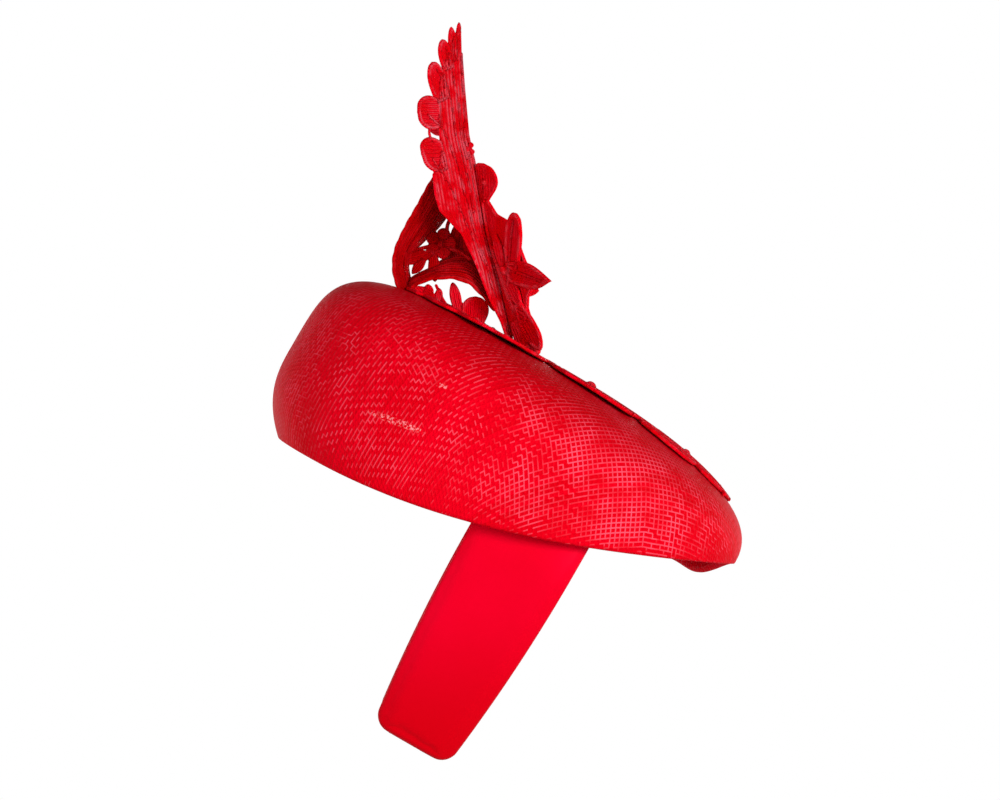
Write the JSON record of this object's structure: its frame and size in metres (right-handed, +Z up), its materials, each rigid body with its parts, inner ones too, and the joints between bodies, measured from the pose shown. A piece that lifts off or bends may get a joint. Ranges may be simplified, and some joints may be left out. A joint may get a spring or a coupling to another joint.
{
  "type": "fascinator headpiece",
  "caption": "Red blocked straw headpiece on a wide satin-covered sprung headband, trimmed with an upright wired lace leaf, flowers and flat lace leaves.",
  "frame": {"origin": "top of the wearer's head: the middle of the inner face of the headband's apex", "axes": "as worn: +X the wearer's forward, +Y the wearer's left, +Z up. The crown and band are pitched 30 degrees forward about +Y in this frame."},
  "size_m": [0.1779, 0.1498, 0.2762],
  "materials": {
    "sinamay": "open plain-weave straw, stiffened, slight sheen",
    "sinamay_lining": "second layer of open plain-weave straw",
    "satin": "smooth satin",
    "velvet": "short-pile velvet ribbon",
    "foam": "thin soft padding",
    "band_spring": "springy moulded strip",
    "wire": "cotton-covered millinery wire",
    "thread": "waxed sewing thread",
    "lace": "heavy satin-stitch embroidery"
  },
  "bodies": {
    "root": {"lace_tall_leaf": "lace", "lace_rear_loop": "lace", "lace_arch_leaf": "lace", "lace_inner_leaf": "lace", "lace_inner_flower": "lace", "lace_front_leaf": "lace", "lace_upper_flower": "lace", "lace_main_flower": "lace", "lace_lower_flower": "lace", "lace_bud": "lace", "lace_standing_petals": "lace", "lace_base_mat": "lace", "lace_middle_leaf": "lace", "lace_lip_leaf": "lace", "crown_shell": "sinamay", "crown_lining": "sinamay_lining", "rim_hem": "sinamay", "rim_wire": "wire", "lace_tall_wire": "wire", "lace_tacks": "thread", "crown_tacks": "thread", "rim_tacks_left": "thread", "rim_tacks_right": "thread", "band_cover_centre": "satin", "band_core_centre": "band_spring", "band_padding_centre": "foam", "band_lining_centre": "velvet"},
    "left_leg": {"band_core_left": "band_spring", "band_padding_left": "foam", "band_cover_left": "satin", "band_lining_left": "velvet"},
    "right_leg": {"band_core_right": "band_spring", "band_padding_right": "foam", "band_cover_right": "satin", "band_lining_right": "velvet"}
  },
  "joints": [
    {"name": "left_leg_flex", "type": "hinge", "parent": "root", "child": "left_leg", "pos_m": [-0.02228, 0.06061, -0.03859], "axis": [0.866, 0, -0.5], "range_deg": [-4, 12], "stiffness_Nm_per_rad": 3},
    {"name": "right_leg_flex", "type": "hinge", "parent": "root", "child": "right_leg", "pos_m": [-0.02228, -0.06061, -0.03859], "axis": [-0.866, 0, 0.5], "range_deg": [-4, 12], "stiffness_Nm_per_rad": 3}
  ]
}
